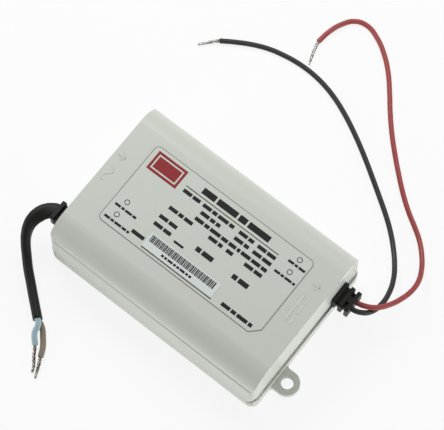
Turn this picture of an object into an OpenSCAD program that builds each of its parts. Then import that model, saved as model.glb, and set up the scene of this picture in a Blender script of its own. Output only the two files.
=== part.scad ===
// Small mains LED driver in a two-part plastic case.
// Frame: X runs along the case from the mains end (-X) to the output end (+X), Y across it, Z up.
// The origin is the middle of the underside. Lengths are in millimetres.

/* [Case] */
// Length of the base over its end faces
base_l = 85; // [82:0.5:95]
// Width of the base over its side faces
base_w = 57; // [56:0.5:66]
// Height of the closed case
case_h = 27; // [26.5:0.5:34]
// Thickness of the case walls
wall = 2; // [1.8:0.1:2.2]
// Thickness of the floor of the base
floor_t = 2; // [1.6:0.1:2.8]
// Height of the rim of the base above the underside
rim_z = 8.5; // [8:0.1:9.5]
// Plan radius of the corners of the base
base_corner_r = 3; // [2.5:0.5:6]
// Radius of the long top edges of the shell
shell_fillet_r = 8.5; // [5:0.5:9]
// Plan radius of the corners of the shell
shell_corner_r = 2; // [1:0.25:3]
// Step back of the shell from the ends of the base
shell_end_inset = 0.6; // [0.3:0.1:0.7]
// Step back of the shell from the sides of the base
shell_side_inset = 0.7; // [0.4:0.1:0.8]
// Lean of each end wall over the height of the shell
end_draft = 0.4; // [0.2:0.1:0.8]
// Chamfer along the top of the end walls
edge_break = 0.2; // [0.1:0.1:1]
// Distance of the top of the thicker skirt below the start of the long top edges
skirt_drop = 1.5; // [0.5:0.1:2.5]
// Step from the skirt to the side wall above it
skirt_step = 0.3; // [0.1:0.1:0.5]

/* [Seam and snap hooks] */
// Open height of the shadow gap between rim and shell
seam_h = 0.8; // [0.4:0.1:1]
// Thickness of the tongue that stands on the rim
tongue_t = 0.6; // [0.5:0.1:0.7]
// Height of the tongue, on which the shell seats
tongue_h = 2; // [1.5:0.1:2.4]
// Clearance between pieces that fit into each other
fit_gap = 0.1; // [0.05:0.05:0.15]
// Distance of the snap hooks from the middle of the case
hook_x = 20; // [15:1:24]
// Width of a snap hook
hook_w = 6; // [4:0.5:8]
// Thickness of a snap hook
hook_t = 1.1; // [0.9:0.1:1.2]
// Height of the catch face of a hook above the underside
hook_z = 13; // [12.5:0.25:14]
// Reach of the barb of a hook
barb_d = 0.7; // [0.4:0.1:0.8]
// Height of the barb of a hook
barb_h = 1.6; // [1.2:0.1:2]

/* [Screw tab] */
// Distance of the tab hole from the end face of the base
tab_reach = 3.4; // [3:0.1:6]
// Distance of the tab hole from the side face of the base
tab_side = 13.5; // [10.5:0.5:18.5]
// Thickness of the tab
tab_t = 3; // [2:0.25:4]
// Outer radius of the tab
tab_r = 4.2; // [3.6:0.1:5]
// Diameter of the tab hole
tab_hole_d = 4.2; // [3.2:0.1:4.6]
// Radius of the hollow corners at the root of the tab
tab_root_r = 1.2; // [0.6:0.1:1.6]

/* [Strain reliefs] */
// Distance of the mains strain relief from the side face of the base
ac_relief_side = 10.4; // [10:0.1:12]
// Distance of the output strain relief from the side face of the base
dc_relief_side = 11.9; // [11:0.1:16.5]
// Width of the ribs at the mains end
ac_rib_w = 7.2; // [7:0.1:8]
// Width of the ribs at the output end
dc_rib_w = 8; // [7.4:0.1:9]
// Height of the ribs of a strain relief
rib_h = 7; // [6.8:0.1:8]
// Thickness of each rib
rib_t = 1.4; // [1:0.1:1.6]
// Spacing of the ribs
rib_pitch = 2.5; // [2.2:0.1:3.2]
// Number of ribs outside the case at the mains end
ac_ribs = 2; // [2:1:4]
// Number of ribs outside the case at the output end
dc_ribs = 3; // [2:1:5]
// Clear length of neck between the case and the first rib at the mains end
ac_neck_out = 1.1; // [0.6:0.1:2]
// Width of the neck that sits in the end wall
neck_w = 6.2; // [6:0.1:6.6]
// Height of the neck that sits in the end wall
neck_h = 6; // [5.8:0.1:6.4]
// Thickness of the flange inside the end wall
flange_t = 1.4; // [1:0.1:1.6]
// Plan radius of the corners of ribs and flange
rib_corner_r = 0.7; // [0.3:0.1:1.2]
// Width of the staggered webs between the ribs
web_w = 2.4; // [1.6:0.2:3.2]

/* [Cables] */
// Thickness of the flat mains cord
cord_t = 3.2; // [2.8:0.1:3.4]
// Breadth of the flat mains cord, which leaves the case lying flat and turns on edge
cord_b = 5.2; // [4.8:0.1:5.4]
// Diameter of a mains core
core_d = 2; // [1.6:0.1:2.2]
// Spacing of the two mains cores
core_pitch = 2.4; // [2.3:0.1:2.6]
// Diameter of an output wire
wire_d = 1.8; // [1.4:0.1:2]
// Spacing of the two output wires
wire_pitch = 2.7; // [2.4:0.1:3]
// Diameter of a bared conductor
strand_d = 1.1; // [0.8:0.1:1.2]

/* [Label] */
// Length of the label
label_l = 64; // [50:1:70]
// Width of the label
label_w = 31; // [20:0.5:35]
// Thickness of the label and of the sticker
label_t = 0.15; // [0.1:0.05:0.3]
// Offset of the label from the long centre line
label_y = 1; // [0:0.25:2]
// Cut of the two label corners at the output end
label_cut = 4; // [1:0.5:6]
// Cut of the two label corners at the mains end
label_small_cut = 0.8; // [0.2:0.1:2]
// Length of the sticker
sticker_l = 28; // [20:0.5:34]
// Width of the sticker
sticker_w = 5.5; // [4:0.25:7]
// Distance of the sticker from the long edge of the label
sticker_edge = 1.4; // [0.5:0.1:2]
// Distance of the sticker from the end of the label at the mains end
sticker_in = 17; // [12:0.5:22]

/* [Circuit board] */
// Thickness of the circuit board
board_t = 1.6; // [1.2:0.1:2]
// Height of the board's underside above the floor of the base
board_lift = 4.5; // [4:0.1:4.8]
// Clearance from the board to the end walls of the shell
board_end_gap = 1; // [0.6:0.1:1.4]
// Clearance from the board to the snap hooks
board_side_gap = 0.5; // [0.3:0.1:0.7]
// Distance of the post centres from the ends of the board
post_end = 9; // [8:0.25:10]
// Distance of the post centres from the sides of the board
post_side = 2.2; // [2:0.1:2.6]
// Diameter of the posts
post_d = 4.4; // [4:0.1:4.6]
// Diameter of the locating pins on the posts
pin_d = 2.2; // [1.8:0.1:2.4]

/* [Parts on the board] */
// Diameter of the bulk capacitor
bulk_d = 12.5; // [10:0.5:13]
// Clearance from the bulk capacitor to the roof
bulk_gap = 0.9; // [0.9:0.1:5]
// Diameter of the output capacitors
outcap_d = 10; // [8:0.5:11]
// Clearance from the output capacitors to the roof
outcap_gap = 1.9; // [0.9:0.1:6]
// Width of the transformer core across its three legs
core_w = 20; // [18:0.5:22]
// Clearance from the transformer core to the roof
core_gap = 0.9; // [0.4:0.1:3]
// Thickness of the transformer core along the case
core_t = 6; // [5:0.25:7]
// Outer diameter of the line filter ring
choke_d = 15; // [12:0.5:16]
// Height of the line filter ring
choke_h = 7; // [5:0.5:9]
// Length of the heatsink plate
sink_l = 22; // [16:1:24]
// Clearance from the heatsink plate to the roof
sink_gap = 2.4; // [2:0.1:3]
// Thickness of the heatsink plate
sink_t = 1.5; // [1:0.1:2]

/* [Hidden] */
$fn = 48;
e = 0.01;

half_l = base_l / 2;
half_w = base_w / 2;
shell_z = rim_z + seam_h;
seat_z = rim_z + tongue_h;
shell_half_l = half_l - shell_end_inset;
shell_top_half_l = shell_half_l - end_draft;
skirt_half_w = half_w - shell_side_inset;
flank_half_w = skirt_half_w - skirt_step;
skirt_z = case_h - shell_fillet_r - skirt_drop;
room_half_l = shell_top_half_l - wall;
room_half_w = flank_half_w - wall;
tongue_half_l = half_l - wall + tongue_t;
tongue_half_w = half_w - wall + tongue_t;

hook_face = room_half_w - fit_gap;
hook_lead = 0.3;
barb_land = 0.4;
tab_x = half_l + tab_reach;
tab_y = half_w - tab_side;

ac_relief_y = half_w - ac_relief_side;
dc_relief_y = half_w - dc_relief_side;
relief_z = rim_z + rib_h / 2;
ac_rib_x = shell_half_l + ac_neck_out;
ac_face = ac_rib_x + (ac_ribs - 1) * rib_pitch + rib_t;
dc_face = shell_half_l + (dc_ribs - 1) * rib_pitch + rib_t;
relief_in_x = room_half_l - fit_gap - flange_t;
web_inset = 0.5;
cord_stub = 2;
cord_inner_x = relief_in_x - cord_stub;

board_z = floor_t + board_lift;
board_top = board_z + board_t;
board_half_l = room_half_l - board_end_gap;
board_half_w = hook_face - hook_t - board_side_gap;
post_x = board_half_l - post_end;
post_y = board_half_w - post_side;
pin_rise = 0.6;
pillar_bore_gap = 0.3;

// Ends and side of the board, from which the places of the parts on it are measured
in_x = -board_half_l;
out_x = board_half_l;
side_y = board_half_w;
part_room = case_h - wall - board_top;

// Distances of the lead ends from the end of the board, and the radius of their bend
mains_pad_in = 4.3;
output_pad_in = 7;
lead_bend = 1.6;

// Parts at the mains end, from that end of the board and from its middle or its side
fuse_in = 7.5;
fuse_y = -7;
varistor_in = 8;
varistor_y = 6;
varistor_d = 10;
disc_t = 4;
bridge_in = 11.5;
bridge_side = 9;
x_capacitor_in = 19;
x_capacitor_side = 6;
choke_in = 19.5;
choke_y = -3.5;
bulk_in = 26.5;
bulk_side = 9;
bulk_h = part_room - bulk_gap;

// Transformer in the middle, the window of its core, its former and the chip beside it
transformer_y = -1;
bobbin_lift = 1;
bobbin_wall = 0.6;
core_h = part_room - bobbin_lift - core_gap;
core_yoke = core_t / 2;
core_window = (core_w - core_t) / 2 - core_yoke;
control_chip_x = 2.5;
control_chip_y = transformer_y + 14;

// Parts at the output end
outcap_in = 14;
outcap_h = part_room - outcap_gap;
outcap_space = 1.5;
diode_in = 19;
diode_side = 7;
diode_d = 5.3;
diode_l = 9.5;
outcap_from_diode = 9.2;
optocoupler_from_outcap = 10.5;
optocoupler_y = transformer_y - 7;
y_capacitor_y = transformer_y + 8;
y_capacitor_d = 9;
resistor_ins = [5.5, 2];
resistor_y = -8;
resistor_d = 2.4;
resistor_l = 6.5;
bleeder_in = 5;
bleeder_y = 5;
leg = 0.7;

// Transistor and screw, which meet at the face of the heatsink
sink_foot = 3.8;
sink_edge = 0.5;
sink_face_y = sink_foot + sink_edge - side_y;
sink_h = part_room - sink_gap;
transistor_x = 3;
transistor_stand = 0.8;
transistor_z = board_top + transistor_stand;
transistor_w = 10;
transistor_over = 1.3;
transistor_h = sink_h + transistor_over - transistor_stand;
transistor_hole_drop = 2.8;
transistor_hole_z = transistor_z + transistor_h - transistor_hole_drop;
transistor_tab_t = 1.3;
screw_d = 3;
screw_head_d = 5.5;

// Routes of the free cords. Each starts at the face of its strain relief and lies on the table at the end.
red_start = [dc_face, dc_relief_y + wire_pitch / 2, relief_z];
red_route = [
    [51.2, 18.6, 12], [54.5, 20.8, 11.3], [57, 24.5, 10], [58.5, 29, 8.5], [59.5, 33.5, 7], [59, 37.5, 5.5],
    [57.5, 42, 3.5], [54, 46.5, 2], [50.5, 50.5, 1.1], [46.5, 53, 0.9], [42.5, 55.5, 0.9], [37, 59.5, 0.9],
    [32, 64, 0.9], [26.5, 69, 0.9], [21, 74.5, 0.9], [16, 80, 0.9], [11.5, 86, 0.9], [7, 91, 0.9],
    [2.5, 95, 0.9], [-3.5, 99, 0.9], [-9.5, 100.5, 0.9], [-13, 99, 0.9], [-16, 95.5, 0.9], [-18, 90.5, 0.9],
    [-18.5, 85.5, 0.9]];
red_bare = [[-17.5, 81.5, 0.7], [-16, 77, 0.6]];
black_start = [dc_face, dc_relief_y - wire_pitch / 2, relief_z];
black_route = [
    [51.5, 16.2, 11.3], [53.7, 19, 9.8], [54.5, 23.5, 8], [54, 28.5, 6.5], [52, 33.5, 4.5], [49.5, 38, 2.5],
    [45, 43, 1.3], [41, 47, 0.9], [36.5, 50.5, 0.9], [30.5, 54.5, 0.9], [24.5, 58.5, 0.9], [18.5, 62.5, 0.9],
    [11.5, 66.5, 0.9], [4, 70.5, 0.9], [-1.5, 72.5, 0.9], [-6.5, 74, 0.9], [-11.5, 75, 0.9], [-16.5, 75, 0.9],
    [-21, 75, 0.9], [-25.5, 74, 0.9], [-30, 73, 0.9], [-34, 71.5, 0.9], [-40.5, 68, 0.9], [-45, 65, 0.9]];
black_bare = [[-47.5, 62.5, 0.7], [-50, 59.5, 0.6]];
cord_start = [-ac_face, -ac_relief_y, relief_z];
cord_route = [
    [-48.5, -18.9, 12], [-50, -20.4, 11.9], [-51, -22.2, 11.6], [-51.7, -24.9, 10.9], [-51.6, -27.3, 9.9],
    [-50.9, -29.4, 8.8], [-49.8, -31.3, 7.5], [-47, -34.5, 5], [-44, -37.5, 3.8], [-40.5, -40.5, 3],
    [-37, -43.5, 2.7], [-34, -46, 2.6], [-31, -48.5, 2.6]];
// Roll of the flat cord from the on-edge position at its first points; the rest is on edge
cord_roll = [90, 90, 82, 60, 32, 15, 5];
blue_route = [[-29.5, -50, 3.5], [-29, -52.5, 2.4], [-26.5, -55.5, 1.1]];
blue_bare = [[-24.5, -58.5, 0.8], [-22.5, -61, 0.7], [-21.5, -63, 0.6]];
brown_route = [[-28.5, -49.5, 1.3], [-26, -52, 1.1], [-24, -54.5, 1.1], [-22.5, -57.5, 1.1]];
brown_bare = [[-21, -60.5, 0.8], [-19.5, -64, 0.6]];

// Colours
case_colour = [0.80, 0.80, 0.77];
black_colour = [0.08, 0.08, 0.09];
copper_colour = [0.72, 0.45, 0.28];
tin_colour = [0.72, 0.72, 0.72];
blue_colour = [0.45, 0.62, 0.78];
brown_colour = [0.42, 0.36, 0.33];
red_colour = [0.52, 0.12, 0.11];

// Shared shapes

// Rectangle with round corners, centred
module round_rect(l, w, r) {
    square([l - 2 * r, w], center = true);
    square([l, w - 2 * r], center = true);
    for (sx = [-1, 1], sy = [-1, 1])
        translate([sx * (l / 2 - r), sy * (w / 2 - r)])
            circle(r);
}

// Flat drawing in the Y-Z plane, extruded along X and centred on X = 0
module along_x(l) {
    rotate([90, 0, 90])
        linear_extrude(l, center = true)
            children();
}

// Flat drawing in the X-Z plane, extruded along Y and centred on Y = 0
module along_y(l) {
    rotate([90, 0, 0])
        linear_extrude(l, center = true)
            children();
}

module at_posts() {
    for (sx = [-1, 1], sy = [-1, 1])
        translate([sx * post_x, sy * post_y, 0])
            children();
}

function unit(v) = v / norm(v);

function ring_dir(pts, i, first) =
    i == 0 ? first :
    i == len(pts) - 1 ? unit(pts[i] - pts[i - 1]) :
    unit(unit(pts[i + 1] - pts[i]) + unit(pts[i] - pts[i - 1]));

function last_point(route) = route[len(route) - 1];

function last_dir(route) = unit(last_point(route) - route[len(route) - 2]);

function round_outline(d) = [for (k = [0:7]) d / 2 * [cos(45 * k), sin(45 * k)]];

// Outline of the flat cord: two half rounds, wide side along the second axis
function flat_outline(t, b, steps = 5) = [
    for (end = [0, 1], k = [0:steps])
        let (a = 180 * (end + k / steps))
        [t / 2 * cos(a), (1 - 2 * end) * (b - t) / 2 + t / 2 * sin(a)]];

// Outline point turned clockwise by a, as seen along the sweep
function rolled(p, a) = [p.x * cos(a) + p.y * sin(a), p.y * cos(a) - p.x * sin(a)];

// Closed tube of one outline along a list of points; first is the direction at its start,
// roll the turn of the outline at the first points
module swept(pts, outline, first, ref = [0, 0, 1], roll = []) {
    n = len(outline);
    last = len(pts) - 1;
    corners = [
        for (i = [0:last])
            let (t = ring_dir(pts, i, first), s = unit(cross(t, ref)), u = cross(s, t))
            let (turn = i < len(roll) ? roll[i] : 0)
            for (q = outline)
                let (p = rolled(q, turn))
                pts[i] + p.x * s + p.y * u];
    skin = [
        for (i = [0:last - 1], j = [0:n - 1])
            let (a = i * n + j, b = i * n + (j + 1) % n)
            each [[a, b, b + n], [a, b + n, a + n]]];
    start_cap = [[for (j = [n - 1:-1:0]) j]];
    end_cap = [[for (j = [0:n - 1]) last * n + j]];
    polyhedron(corners, concat(start_cap, end_cap, skin));
}

// Case

// Section of the shell across the case, shrunk all round by t
module shell_section(t) {
    r = shell_fillet_r - t;
    flat_half_w = flank_half_w - shell_fillet_r;
    top = case_h - t;
    for (side = [-1, 1])
        translate([side * flat_half_w, top - r])
            circle(r, $fn = 96);
    translate([-flat_half_w, shell_z - t])
        square([2 * flat_half_w, top - shell_z + t]);
    translate([-flank_half_w + t, shell_z - t])
        square([2 * (flank_half_w - t), top - r - shell_z + t]);
}

module shell_body() {
    chamfer_x = shell_top_half_l - edge_break;
    intersection() {
        along_x(base_l) {
            shell_section(0);
            translate([-skirt_half_w, shell_z])
                square([2 * skirt_half_w, skirt_z - shell_z]);
        }
        along_y(base_w)
            polygon([
                [-shell_half_l, shell_z], [shell_half_l, shell_z],
                [shell_top_half_l, case_h - edge_break], [chamfer_x, case_h],
                [-chamfer_x, case_h], [-shell_top_half_l, case_h - edge_break]]);
        linear_extrude(case_h + 1)
            round_rect(2 * shell_half_l, 2 * skirt_half_w, shell_corner_r);
    }
}

// Slot through tongue and end wall for the neck of a strain relief, open downwards
module relief_slot(y) {
    slot_w = neck_w + 2 * fit_gap;
    slot_top = relief_z + neck_h / 2 + fit_gap;
    translate([room_half_l - wall, y - slot_w / 2, rim_z])
        cube([half_l - room_half_l + 2 * wall, slot_w, slot_top - rim_z]);
}

module relief_slots() {
    relief_slot(dc_relief_y);
    rotate([0, 0, 180])
        relief_slot(ac_relief_y);
}

module upper_shell() {
    rebate_l = 2 * (tongue_half_l + fit_gap);
    rebate_w = 2 * (tongue_half_w + fit_gap);
    color(case_colour) {
        difference() {
            shell_body();
            along_x(2 * room_half_l)
                shell_section(wall);
            translate([0, 0, rim_z])
                linear_extrude(seat_z - rim_z)
                    round_rect(rebate_l, rebate_w, base_corner_r - wall + tongue_t);
            relief_slots();
            for (sx = [-1, 1])
                translate([sx * hook_x, 0, hook_z - fit_gap])
                    linear_extrude(barb_h + 3 * fit_gap)
                        square([hook_w + 4 * fit_gap, 2 * (hook_face + barb_d + fit_gap)], center = true);
        }
        hold_downs();
    }
}

// Hollow pillars under the roof that press the board on its posts
module hold_downs() {
    bore_d = pin_d + 2 * pillar_bore_gap;
    intersection() {
        at_posts()
            translate([0, 0, board_top])
                difference() {
                    cylinder(h = case_h, d = post_d);
                    translate([0, 0, -1])
                        cylinder(h = pin_rise + 2, d = bore_d);
                }
        along_x(2 * room_half_l)
            shell_section(wall - e);
    }
}

module tab_outline() {
    root_w = 2 * (tab_r + tab_root_r);
    difference() {
        union() {
            translate([tab_x, -tab_y])
                circle(tab_r);
            translate([half_l - wall, -tab_y - tab_r])
                square([tab_reach + wall, 2 * tab_r]);
            translate([half_l - wall, -tab_y - root_w / 2])
                square([wall + tab_root_r, root_w]);
        }
        for (side = [-1, 1])
            translate([half_l + tab_root_r, -tab_y + side * root_w / 2])
                circle(tab_root_r);
    }
}

// Snap hook in the Y-Z plane, standing on the floor at the +Y side
module hook_outline() {
    foot = hook_face - hook_t;
    polygon([
        [foot, floor_t - e], [hook_face, floor_t - e], [hook_face, hook_z],
        [hook_face + barb_d, hook_z], [hook_face + barb_d, hook_z + barb_land],
        [hook_face - hook_lead, hook_z + barb_h], [foot, hook_z + barb_h]]);
}

module base_tray() {
    room_r = base_corner_r - wall;
    color(case_colour)
        difference() {
            union() {
                difference() {
                    union() {
                        linear_extrude(rim_z)
                            round_rect(base_l, base_w, base_corner_r);
                        linear_extrude(seat_z)
                            round_rect(2 * tongue_half_l, 2 * tongue_half_w, room_r + tongue_t);
                    }
                    translate([0, 0, floor_t])
                        linear_extrude(case_h)
                            round_rect(base_l - 2 * wall, base_w - 2 * wall, room_r);
                    relief_slots();
                }
                linear_extrude(tab_t)
                    tab_outline();
                at_posts() {
                    cylinder(h = board_z, d = post_d);
                    cylinder(h = board_top + pin_rise, d = pin_d);
                }
                for (sx = [-1, 1], turn = [0, 180])
                    rotate([0, 0, turn])
                        translate([sx * hook_x, 0, 0])
                            along_x(hook_w)
                                hook_outline();
            }
            translate([tab_x, -tab_y, -1])
                cylinder(h = tab_t + 2, d = tab_hole_d);
        }
}

// Label

module rating_label() {
    hl = label_l / 2;
    hw = label_w / 2;
    color([0.82, 0.85, 0.82])
        translate([0, label_y, case_h])
            linear_extrude(label_t)
                polygon([
                    [label_small_cut - hl, -hw], [hl - label_cut, -hw], [hl, label_cut - hw],
                    [hl, hw - label_cut], [hl - label_cut, hw], [label_small_cut - hl, hw],
                    [-hl, hw - label_small_cut], [-hl, label_small_cut - hw]]);
}

module serial_sticker() {
    color([0.93, 0.93, 0.93])
        translate([sticker_in - label_l / 2, label_y - label_w / 2 + sticker_edge, case_h + label_t])
            cube([sticker_l, sticker_w, label_t]);
}

// Strain reliefs, drawn at the +X end

// Neck, flange and count ribs of width rib_w from rib_x outwards, with staggered webs between the ribs
// and a stem of hold_w by hold_h round the bores
module relief_body(rib_x, count, rib_w, hold_w, hold_h) {
    translate([relief_in_x + flange_t / 2, 0, 0])
        along_x(flange_t)
            round_rect(rib_w, rib_h - 2 * fit_gap, rib_corner_r);
    translate([relief_in_x, -neck_w / 2, -neck_h / 2])
        cube([rib_x - relief_in_x + rib_t / 2, neck_w, neck_h]);
    translate([rib_x, -hold_w / 2, -hold_h / 2])
        cube([(count - 1) * rib_pitch + rib_t, hold_w, hold_h]);
    for (k = [0:count - 1])
        translate([rib_x + k * rib_pitch + rib_t / 2, 0, 0])
            along_x(rib_t)
                round_rect(rib_w, rib_h, rib_corner_r);
    for (k = [0:count - 2])
        translate([rib_x + (k + 0.5) * rib_pitch + rib_t / 2, 0, 0])
            if (k % 2 == 0)
                cube([rib_pitch, rib_w - 2 * web_inset, web_w], center = true);
            else
                cube([rib_pitch, web_w, rib_h - 2 * web_inset], center = true);
}

module ac_strain_relief() {
    gap = 2 * fit_gap;
    stem_wall = 0.4;
    color(black_colour)
        rotate([0, 0, 180])
            translate([0, ac_relief_y, relief_z])
                difference() {
                    relief_body(ac_rib_x, ac_ribs, ac_rib_w, cord_b + 2 * stem_wall, cord_t + 2 * stem_wall);
                    cord_prism(3 * half_l, cord_t + gap, cord_b + gap);
                }
}

module dc_strain_relief() {
    stem_wall = 0.75;
    stem_h = wire_d + 2 * stem_wall;
    color(black_colour)
        translate([0, dc_relief_y, relief_z])
            difference() {
                relief_body(shell_half_l, dc_ribs, dc_rib_w, stem_h + wire_pitch, stem_h);
                for (side = [-1, 1])
                    translate([0, side * wire_pitch / 2, 0])
                        rotate([0, 90, 0])
                            cylinder(h = 2 * half_l, d = wire_d + 2 * fit_gap);
            }
}

// Flat cord of thickness t and breadth b, lying flat, straight along X and centred
module cord_prism(l, t, b) {
    for (side = [-1, 1])
        translate([0, side * (b - t) / 2, 0])
            rotate([0, 90, 0])
                cylinder(h = l, d = t, center = true);
    cube([l, b - t, t], center = true);
}

// Cables

module ac_cable_inner() {
    l = ac_face - cord_inner_x;
    color(black_colour)
        translate([-cord_inner_x - l / 2, -ac_relief_y, relief_z])
            cord_prism(l, cord_t, cord_b);
}

module ac_cable_jacket() {
    color(black_colour)
        swept(concat([cord_start], cord_route), flat_outline(cord_t, cord_b), [-1, 0, 0], roll = cord_roll);
}

// Core that leaves the cut end of the flat cord at one side of its middle
module core_tail(side, route) {
    start = last_point(cord_route) + [0, 0, side * core_pitch / 2];
    swept(concat([start], route), round_outline(core_d), last_dir(cord_route));
}

// Bared conductor that carries on from the cut end of an insulated route
module bare_end(route, points) {
    swept(concat([last_point(route)], points), round_outline(strand_d), last_dir(route));
}

module blue_core_tail() {
    color(blue_colour)
        core_tail(1, blue_route);
}

module brown_core_tail() {
    color(brown_colour)
        core_tail(-1, brown_route);
}

module blue_core_strands() {
    color(copper_colour)
        bare_end(blue_route, blue_bare);
}

module brown_core_strands() {
    color(copper_colour)
        bare_end(brown_route, brown_bare);
}

module red_wire() {
    color(red_colour)
        swept(concat([red_start], red_route), round_outline(wire_d), [1, 0, 0]);
}

module black_wire() {
    color(black_colour)
        swept(concat([black_start], black_route), round_outline(wire_d), [1, 0, 0]);
}

module red_wire_strands() {
    color(tin_colour)
        bare_end(red_route, red_bare);
}

module black_wire_strands() {
    color(tin_colour)
        bare_end(black_route, black_bare);
}

// Lead from the height of the strain relief down to the board, in one plane along X
module inner_lead(x0, x1, y, d) {
    dir = sign(x1 - x0);
    bow = [
        for (a = [0:30:90])
            [x1 - dir * lead_bend * (1 - sin(a)), y, relief_z - lead_bend * (1 - cos(a))]];
    swept(concat([[x0, y, relief_z]], bow, [[x1, y, board_top]]), round_outline(d), [dir, 0, 0], [0, 1, 0]);
}

module blue_lead_inner() {
    color(blue_colour)
        inner_lead(-cord_inner_x, in_x + mains_pad_in, core_pitch / 2 - ac_relief_y, core_d);
}

module brown_lead_inner() {
    color(brown_colour)
        inner_lead(-cord_inner_x, in_x + mains_pad_in, -core_pitch / 2 - ac_relief_y, core_d);
}

module red_lead_inner() {
    color(red_colour)
        inner_lead(dc_face, out_x - output_pad_in, dc_relief_y + wire_pitch / 2, wire_d);
}

module black_lead_inner() {
    color(black_colour)
        inner_lead(dc_face, out_x - output_pad_in, dc_relief_y - wire_pitch / 2, wire_d);
}

// Circuit board and the parts on it

module on_board(x, y) {
    translate([x, y, board_top])
        children();
}

module circuit_board() {
    corner_r = 1;
    color([0.25, 0.42, 0.22])
        translate([0, 0, board_z])
            difference() {
                linear_extrude(board_t)
                    round_rect(2 * board_half_l, 2 * board_half_w, corner_r);
                at_posts()
                    translate([0, 0, -1])
                        cylinder(h = board_t + 2, d = pin_d + 2 * fit_gap);
            }
}

// Upright can with a rolled groove near its foot and a bevelled top
module can(d, h) {
    groove = 0.4;
    groove_z = 2;
    bevel = 0.6;
    rotate_extrude()
        polygon([
            [0, 0], [d / 2, 0], [d / 2, groove_z - groove], [d / 2 - groove, groove_z],
            [d / 2, groove_z + groove], [d / 2, h - bevel], [d / 2 - bevel, h], [0, h]]);
}

// Round disc standing on two legs, its axis along X
module disc_on_legs(d, t) {
    lift = 1.5;
    translate([0, 0, lift + d / 2])
        rotate([0, 90, 0])
            cylinder(h = t, d = d, center = true);
    for (side = [-1, 1])
        translate([0, side * d / 4, 0])
            cylinder(h = lift + d / 4, d = leg);
}

// Body lying along Y, with a lead bent down at each end
module axial_part(d, l) {
    under = 0.3;
    lift = d / 2 + under;
    lead_out = 1.2;
    translate([0, 0, lift])
        rotate([90, 0, 0]) {
            cylinder(h = l, d = d, center = true);
            cylinder(h = l + 2 * lead_out, d = leg, center = true);
        }
    for (side = [-1, 1])
        translate([0, side * (l / 2 + lead_out - leg / 2), 0])
            cylinder(h = lift, d = leg);
}

// Moulded chip body with bent legs along its two long sides
module chip(l, w, h, legs) {
    stand = 0.4;
    leg_out = 1;
    pitch = l / legs;
    translate([0, 0, stand])
        linear_extrude(h)
            square([l, w], center = true);
    for (k = [0:legs - 1])
        translate([(k + 0.5) * pitch - l / 2, 0, (stand + h / 2) / 2])
            cube([leg, w + 2 * leg_out, stand + h / 2], center = true);
}

module fuse() {
    r = 4.2;
    h = 7.5;
    bevel = 0.8;
    color([0.35, 0.22, 0.16])
        on_board(in_x + fuse_in, fuse_y)
            rotate_extrude()
                polygon([[0, 0], [r, 0], [r, h - bevel], [r - bevel, h], [0, h]]);
}

module varistor() {
    color([0.15, 0.30, 0.55])
        on_board(in_x + varistor_in, varistor_y)
            disc_on_legs(varistor_d, disc_t);
}

module x_capacitor() {
    l = 14;
    w = 7;
    h = 12;
    corner_r = 0.8;
    color([0.80, 0.68, 0.25])
        on_board(in_x + x_capacitor_in, x_capacitor_side - side_y)
            linear_extrude(h)
                round_rect(l, w, corner_r);
}

// Ferrite ring with a winding on each half
module line_filter_choke() {
    bore_d = 6;
    wire_t = 1;
    span = 130;
    color([0.62, 0.36, 0.20])
        on_board(in_x + choke_in, choke_y) {
            translate([0, 0, wire_t])
                difference() {
                    cylinder(h = choke_h - 2 * wire_t, d = choke_d - 2 * wire_t);
                    translate([0, 0, -1])
                        cylinder(h = choke_h, d = bore_d + 2 * wire_t);
                }
            for (turn = [0, 180])
                rotate([0, 0, turn - span / 2])
                    rotate_extrude(angle = span)
                        translate([bore_d / 2, 0])
                            square([(choke_d - bore_d) / 2, choke_h]);
        }
}

module bridge_rectifier() {
    color([0.12, 0.12, 0.13])
        on_board(in_x + bridge_in, side_y - bridge_side)
            chip(l = 8.4, w = 6.4, h = 3.2, legs = 2);
}

module bulk_capacitor() {
    color([0.16, 0.18, 0.30])
        on_board(in_x + bulk_in, side_y - bulk_side)
            can(bulk_d, bulk_h);
}

// Three-legged ferrite frame standing across the case
module transformer_core() {
    color([0.22, 0.22, 0.24])
        on_board(0, transformer_y)
            translate([0, 0, bobbin_lift])
                along_x(core_t)
                    difference() {
                        translate([-core_w / 2, 0])
                            square([core_w, core_h]);
                        for (side = [-1, 1])
                            translate([(side * (core_t + core_window) - core_window) / 2, core_yoke])
                                square([core_window, core_h - 2 * core_yoke]);
                    }
}

// Former on the middle leg: a tube with two flanges, and feet beside the core
module transformer_bobbin() {
    tube_in = core_t + 2 * fit_gap;
    tube_out = tube_in + 2 * bobbin_wall;
    flange_y = core_t + 2 * core_window - 2 * fit_gap;
    flange_x = core_t + 2 * core_window;
    low = bobbin_lift + core_yoke + fit_gap;
    high = bobbin_lift + core_h - core_yoke - fit_gap;
    foot = 2;
    color([0.88, 0.84, 0.70])
        on_board(0, transformer_y) {
            difference() {
                union() {
                    translate([0, 0, low])
                        linear_extrude(high - low)
                            square(tube_out, center = true);
                    for (z = [low, high - bobbin_wall])
                        translate([0, 0, z])
                            linear_extrude(bobbin_wall)
                                square([flange_x, flange_y], center = true);
                }
                linear_extrude(case_h)
                    square(tube_in, center = true);
            }
            for (side = [-1, 1])
                translate([side * (flange_x - foot) / 2, 0, 0])
                    linear_extrude(low + e)
                        square([foot, flange_y], center = true);
        }
}

module transformer_winding() {
    side_gap = 0.5;
    inner = core_t + 4 * fit_gap + 2 * bobbin_wall;
    outer = core_t + 2 * core_window - 2 * side_gap;
    low = bobbin_lift + core_yoke + fit_gap + bobbin_wall;
    high = bobbin_lift + core_h - core_yoke - fit_gap - bobbin_wall;
    corner_r = 1.5;
    color([0.78, 0.62, 0.16])
        on_board(0, transformer_y)
            translate([0, 0, low])
                linear_extrude(high - low)
                    difference() {
                        round_rect(outer, outer, corner_r);
                        square(inner, center = true);
                    }
}

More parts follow.
